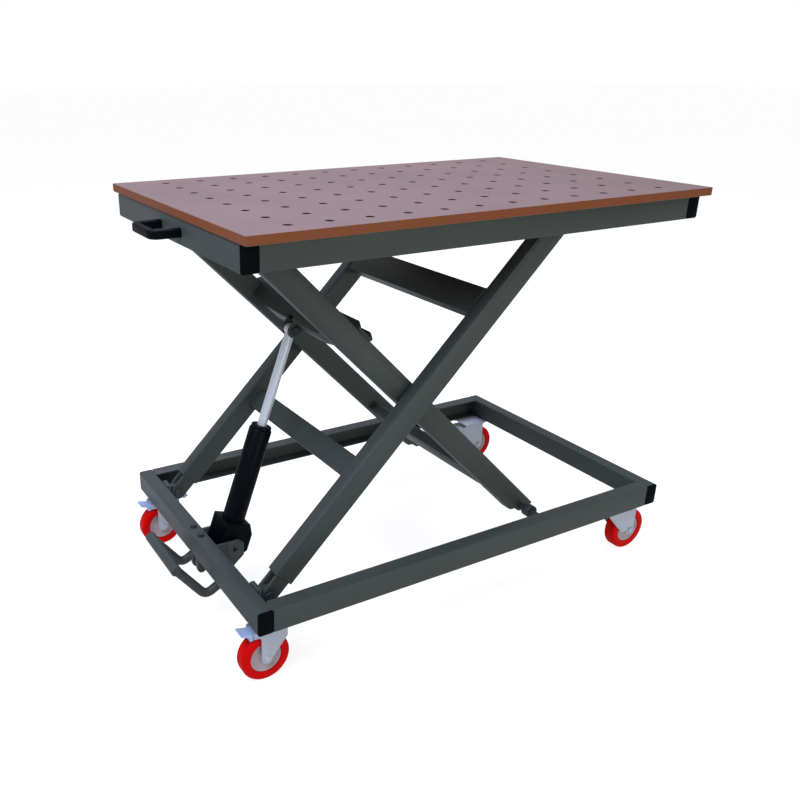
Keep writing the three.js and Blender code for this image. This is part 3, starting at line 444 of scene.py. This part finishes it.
def lift_cylinder():
    """Barrel and gland turned about the rod's line, the pump block a chamfered prism round the foot, and its plug."""
    barrel = [[12.8, 40], [30, 40], [30, 318], [28.5, 320.5], [27, 320.5], [27, 328], [25.5, 330], [14.5, 330],
              [12.8, 328]]
    pump = [[-26, -25], [34, -25], [48, -11], [48, 36], [34, 64], [-40, 64], [-40, -11]]
    half_pump = 40.0
    block = prism(pump, FOOT - half_pump * ACROSS, BESIDE_ROD, ALONG_ROD, ACROSS, 2 * half_pump, 3.0)
    plug = disc(FOOT - 22 * ACROSS - 31 * BESIDE_ROD, ALONG_ROD, 6.0, 63.0, 69.0, sides=6)
    return joined([turned(barrel, FOOT, ALONG_ROD), block, plug])


def lift_rod():
    """Rod turned about its own line, with an eye turned about the pin across its end."""
    tail, tip, rod_r = 306.0, REACH - 8.0, 12.5
    eye_r, half_eye = 15.0, 12.0
    rod = turned([[0.01, tail], [rod_r - 1, tail], [rod_r, tail + 1], [rod_r, tip], [0.01, tip]], FOOT, ALONG_ROD)
    return joined([rod, disc(EYE, ACROSS, eye_r, -half_eye, half_eye, 1.5)])


def bridge_handle():
    """A squarish bar bent twice into a bridge, on two foot pads."""
    low, high = box_of("handle")
    half_bar, bend, pad_depth = 10.0, 16.0, 9.0
    z = (low[2] + high[2]) / 2
    grip, foot = low[0] + half_bar, high[1] - half_bar
    path = bent([[high[0], -foot, z], [grip, -foot, z], [grip, foot, z], [high[0], foot, z]], bend)
    bar = swept(path, rounded_rectangle(19.0, 20.6, 5.0), ACROSS)
    pad = rounded_rectangle(19.9, 20.9, 5.5)
    pads = [prism(pad, [high[0], sy * foot, z], ACROSS, UP, -LENGTH, pad_depth, 1.2) for _, sy in SIDES]
    return joined([bar] + pads)


def foot_pedal():
    """Two bent round arms on a shaft, with bosses there, and a tread tube across their ends."""
    arm_y, arm_r, bend = 85.0, 12.0, 20.0
    shaft_r, boss_r, tread_r, tread_half = 8.0, 16.0, 14.0, 97.0
    arm = [PEDAL_AT + [dx, 0, dz] for dx, dz in ((0, 0), (-23, -17), (-57, -34), (-134, 66))]
    parts = [disc(PEDAL_AT, ACROSS, shaft_r, 1 - arm_y, arm_y - 1),
             disc(arm[-1], ACROSS, tread_r, -tread_half, tread_half, 2.5)]
    for _, sy in SIDES:
        parts.append(swept(bent([p + sy * arm_y * ACROSS for p in arm], bend), circle(arm_r), ACROSS))
        parts.append(disc(PEDAL_AT + sy * arm_y * ACROSS, ACROSS, boss_r, -arm_r, arm_r, 1.5))
    return joined(parts)


to_piece("hydraulic_cylinder", lift_cylinder(), BLACK_ENAMEL, "cylinder", ["lift_cylinder"])
to_piece("lift_ram", lift_rod(), CHROME_ROD, "rod", ["lift_rod"])
to_piece("bridge_handle", bridge_handle(), HANDLE_NYLON, "top", ["handle"])
to_piece("foot_pedal", foot_pedal(), POWDER_COAT, "pedal", ["pedal"])


# Fasteners and pins


def hex_bolt(at, axis, flats=13.0, height=5.5, washer=12.0):
    """A hexagon head on a washer: a chamfered disc of six sides over one of many, along the bolt's axis."""
    return joined([disc(at, axis, washer, 0.0, 1.6, 0.4, 32),
                   disc(at, axis, flats / math.sqrt(3), 1.6, 1.6 + height, 0.7, 6)])


def pin_cap(at, axis, radius, depth):
    """A round head with a shallow dimple turned into its middle, along the pin's axis."""
    return turned([[0.01, 0.0], [radius, 0.0], [radius, depth - 1.2], [radius - 1.2, depth], [radius * 0.4, depth],
                   [radius * 0.3, depth - 0.8], [0.01, depth - 0.8]], at, axis, 40)


PIN_HEAD = (12.6, 4.6)
FOOT_BOSS = (24.4, 3.8)
tube_low, tube_high = box_of("base_left_tube")
tube_x = (tube_low[0] + tube_high[0]) / 2
to_piece("bracket_bolts", joined([hex_bolt([tube_x, y, tube_high[2]], UP, washer=10.0) for y in (-25, 25)]),
         DARK_STEEL, "base")
clevis_low = tube_low[2] - 6.3
to_piece("clevis_nuts", joined([hex_bolt([tube_x, y, clevis_low], -UP, 11.0, 5.0, 7.0) for y in (-35, 35)]),
         DARK_STEEL, "base")
for end, side in CORNERS:
    low, high = box_of(f"caster_plate_{end}_{side}")
    mid = (low + high) / 2
    heads = [hex_bolt([mid[0] + dx, mid[1] + dy, low[2]], -UP, 9.0, 4.0, 7.0)
             for dx in (-36, 36) for dy in (-33, 33)]
    to_piece(f"plate_bolts_{end}_{side}", joined(heads), ZINC_PLATE, "base")
cheek_face, eye_lug_face, bracket_face = 17.2, 22.0, 53.0
for level, z, y0, body in (("lower", PIVOT_Z, OUTER_Y, "base"), ("upper", TOP_Z, INNER_Y, "top")):
    caps = [pin_cap([PIVOT_X, sy * y0 + way * cheek_face, z], way * ACROSS, *PIN_HEAD)
            for _, sy in SIDES for way in (-1, 1)]
    to_piece(f"{level}_pin_heads", joined(caps), DARK_STEEL, body)
caps = [pin_cap(EYE + sy * eye_lug_face * ACROSS, sy * ACROSS, *PIN_HEAD) for _, sy in SIDES]
to_piece("eye_pin_heads", joined(caps), DARK_STEEL, "inner_legs")
caps = [pin_cap(FOOT + sy * bracket_face * ACROSS, sy * ACROSS, *FOOT_BOSS) for _, sy in SIDES]
to_piece("foot_pin_bosses", joined(caps), POWDER_COAT, "base")


# Welds


def bead(start, end, radius=2.6):
    """A weld bead: a circle carried from start to end, rippled by a rectified sine and tapered at both ends."""
    pitch, step, taper = 3.5, 0.7, 3.0
    start, end = np.asarray(start, float), np.asarray(end, float)
    length = np.linalg.norm(end - start)
    t = np.arange(0.0, length, step)
    line = start + t[:, None] * (end - start) / length
    ends = np.clip(np.minimum(t, length - t) / taper, 0.25, 1.0)
    ripple = 0.88 + 0.2 * np.abs(np.sin(np.pi * t / pitch))
    return swept(line, circle(radius, 8), beside((end - start) / length)[0], ripple * ends)


def seam(leg, half_span, places, sy):
    """Beads through a list of (along, out) places in a leg's axes, at one end of a member across the legs."""
    points = [on_leg(leg, along, sy * half_span, out) for along, out in places]
    return [bead(a, b) for a, b in zip(points[:-1], points[1:])]


# Each list walks round the edges of a cross member, lift beam or lug that meet the leg or the tube
outer_end, inner_end = OUTER_Y - HALF_LEG, INNER_Y - HALF_LEG
outer_seams, inner_seams, base_seams = [], [], []
for _, sy in SIDES:
    outer_seams += seam(OUTER, outer_end, [(-252, -28), (-252, 0), (-192, 0), (-192, -28)], sy)
    outer_seams += seam(OUTER, outer_end, [(244.5, 2), (244.5, 30), (319.5, 30), (319.5, 2)], sy)
    inner_seams += seam(INNER, inner_end, [(325, -28), (325, 0), (437, 0), (437, -28)], sy)
    for along in (-245, -195):
        inner_seams += seam(INNER, inner_end, [(along, -8), (along, 30)], sy)
    inner_seams += seam(INNER, INNER_Y + HALF_LEG, [(-243, 30.3), (-197, 30.3)], sy)
    for dy in (-HALF_LEG, HALF_LEG):
        y = sy * OUTER_Y + dy
        base_seams.append(bead([tube_high[0], y, 163.0], [tube_high[0], y, 213.0]))
base_seams.append(bead([tube_high[0], -52.0, 191.0], [tube_high[0], 52.0, 191.0]))
to_piece("outer_leg_welds", joined(outer_seams), PAINTED_WELD, "outer_legs")
to_piece("inner_leg_welds", joined(inner_seams), PAINTED_WELD, "inner_legs")
to_piece("base_welds", joined(base_seams), PAINTED_WELD, "base")
# Where a rail butts on a tube's rounded edge, a bead fills the groove and is ground almost level.
# It runs from beside the tube's plug to the mouth of the rail
fill_r, in_groove, to_plug, to_mouth = 2.8, 0.9, 15.5, 18.5
for level, body in (("base", "base"), ("upper", "top")):
    fills = []
    for side, sy in SIDES:
        low, high = box_of(f"{level}_{side}_rail")
        mid_y = (low[1] + high[1]) / 2
        for x in (low[0] - in_groove, high[0] + in_groove):
            for z in (low[2] + fill_r, high[2] - fill_r):
                fills.append(bead([x, mid_y + sy * to_plug, z], [x, mid_y - sy * to_mouth, z], fill_r))
    to_piece(f"{level}_corner_welds", joined(fills), POWDER_COAT, body)


def soften(solid, width=0.8):
    """Joins a solid's loose triangles for display, rounds its sharp edges a little and shades the rest smoothly."""
    solid.data.shade_smooth()
    weld = solid.modifiers.new("join", "WELD")
    weld.merge_threshold = 0.01 * MM
    edge = solid.modifiers.new("rounded_edges", "BEVEL")
    edge.width = width * MM
    edge.segments = 2
    edge.limit_method = "ANGLE"
    edge.angle_limit = math.radians(38)
    edge.harden_normals = True


for solid in NODES.values():
    if not solid.hide_render:
        soften(solid)


# Stage, light and camera

FLOOR_REACH, FLOOR_GREY, FLOOR_ROUGH = 40.0, to_linear("#959595"), 0.95
GLOW_SEEN, GLOW_GIVEN = 0.82, 0.4
floor_mesh = bpy.data.meshes.new("floor")
floor_mesh.from_pydata([(sx * FLOOR_REACH, sy * FLOOR_REACH, 0.0) for sx, sy in ((-1, -1), (1, -1), (1, 1), (-1, 1))],
                       [], [(0, 1, 2, 3)])
floor = bpy.data.objects.new("floor", floor_mesh)
bpy.context.scene.collection.objects.link(floor)
pale, pale_tree, pale_shader = shader_of("pale_floor", FLOOR_ROUGH, gloss=0.1)
pale_shader.inputs["Base Color"].default_value = FLOOR_GREY
# A little light of its own keeps the floor white out to the sky
pale_shader.inputs["Emission Color"].default_value = (1, 1, 1, 1)
pale_shader.inputs["Emission Strength"].default_value = GLOW_SEEN
# The table itself gets less of that light, so that its undersides stay dark
dim = add_node(pale_tree, "ShaderNodeBsdfPrincipled",
               inputs={"Base Color": FLOOR_GREY, "Roughness": FLOOR_ROUGH, "Emission Color": (1, 1, 1, 1),
                       "Emission Strength": GLOW_GIVEN})
ray = add_node(pale_tree, "ShaderNodeLightPath")
shown = add_node(pale_tree, "ShaderNodeMixShader", [(ray.outputs["Is Camera Ray"], 0), (dim.outputs[0], 1),
                                                    (pale_shader.outputs[0], 2)])
pale_tree.links.new(shown.outputs[0], pale_tree.nodes["Material Output"].inputs["Surface"])
floor_mesh.materials.append(pale)

# The sky lights the table softly and is seen as plain white
world = bpy.data.worlds.new("studio")
world.use_nodes = True
sky = world.node_tree
soft = sky.nodes["Background"]
soft.inputs["Color"].default_value = (0.98, 0.99, 0.98, 1)
soft.inputs["Strength"].default_value = 0.5
seen = add_node(sky, "ShaderNodeBackground", inputs={"Color": (1, 1, 1, 1), "Strength": 1.0})
ray = add_node(sky, "ShaderNodeLightPath")
both = add_node(sky, "ShaderNodeMixShader", [(ray.outputs["Is Camera Ray"], 0), (soft.outputs[0], 1),
                                             (seen.outputs[0], 2)])
sky.links.new(both.outputs[0], sky.nodes["World Output"].inputs["Surface"])
bpy.context.scene.world = world


def soft_box(name, place, aim, size, watts, colour):
    """A square area light at a place, turned to its aim."""
    lamp = bpy.data.lights.new(name, "AREA")
    lamp.size, lamp.energy, lamp.color = size, watts, colour
    box = bpy.data.objects.new(name, lamp)
    bpy.context.scene.collection.objects.link(box)
    box.location = place
    box.rotation_euler = (Vector(aim) - Vector(place)).to_track_quat("-Z", "Y").to_euler()


soft_box("key", (-2.6, -1.3, 4.2), (-0.1, 0, 0.5), 2.4, 180, (0.93, 0.98, 1.3))
soft_box("fill", (0.6, -4.2, 0.9), (0, 0, 0.4), 2.6, 58, (1.0, 1.0, 0.9))
soft_box("top", (0.4, 1.2, 4.2), (0, 0, 0.8), 3.0, 135, (0.92, 0.98, 1.4))

# The focal length is known in pixels of the picture
SENSOR, FOCAL_PX, PICTURE_PX = 36.0, 843.3, 800
lens = bpy.data.cameras.new("photo_view")
lens.sensor_width = SENSOR
lens.lens = FOCAL_PX / PICTURE_PX * SENSOR
lens.shift_x, lens.shift_y = 0.1216, 0.01025
lens.clip_end = 120
camera = bpy.data.objects.new("photo_view", lens)
bpy.context.scene.collection.objects.link(camera)
camera.location = ((-1305.6 + SHIFT) * MM, -1.8009, 1.3587)
camera.rotation_euler = Vector((0.4473, 0.8077, -0.3842)).to_track_quat("-Z", "Y").to_euler()
bpy.context.scene.camera = camera
bpy.context.scene.view_settings.view_transform = "Standard"
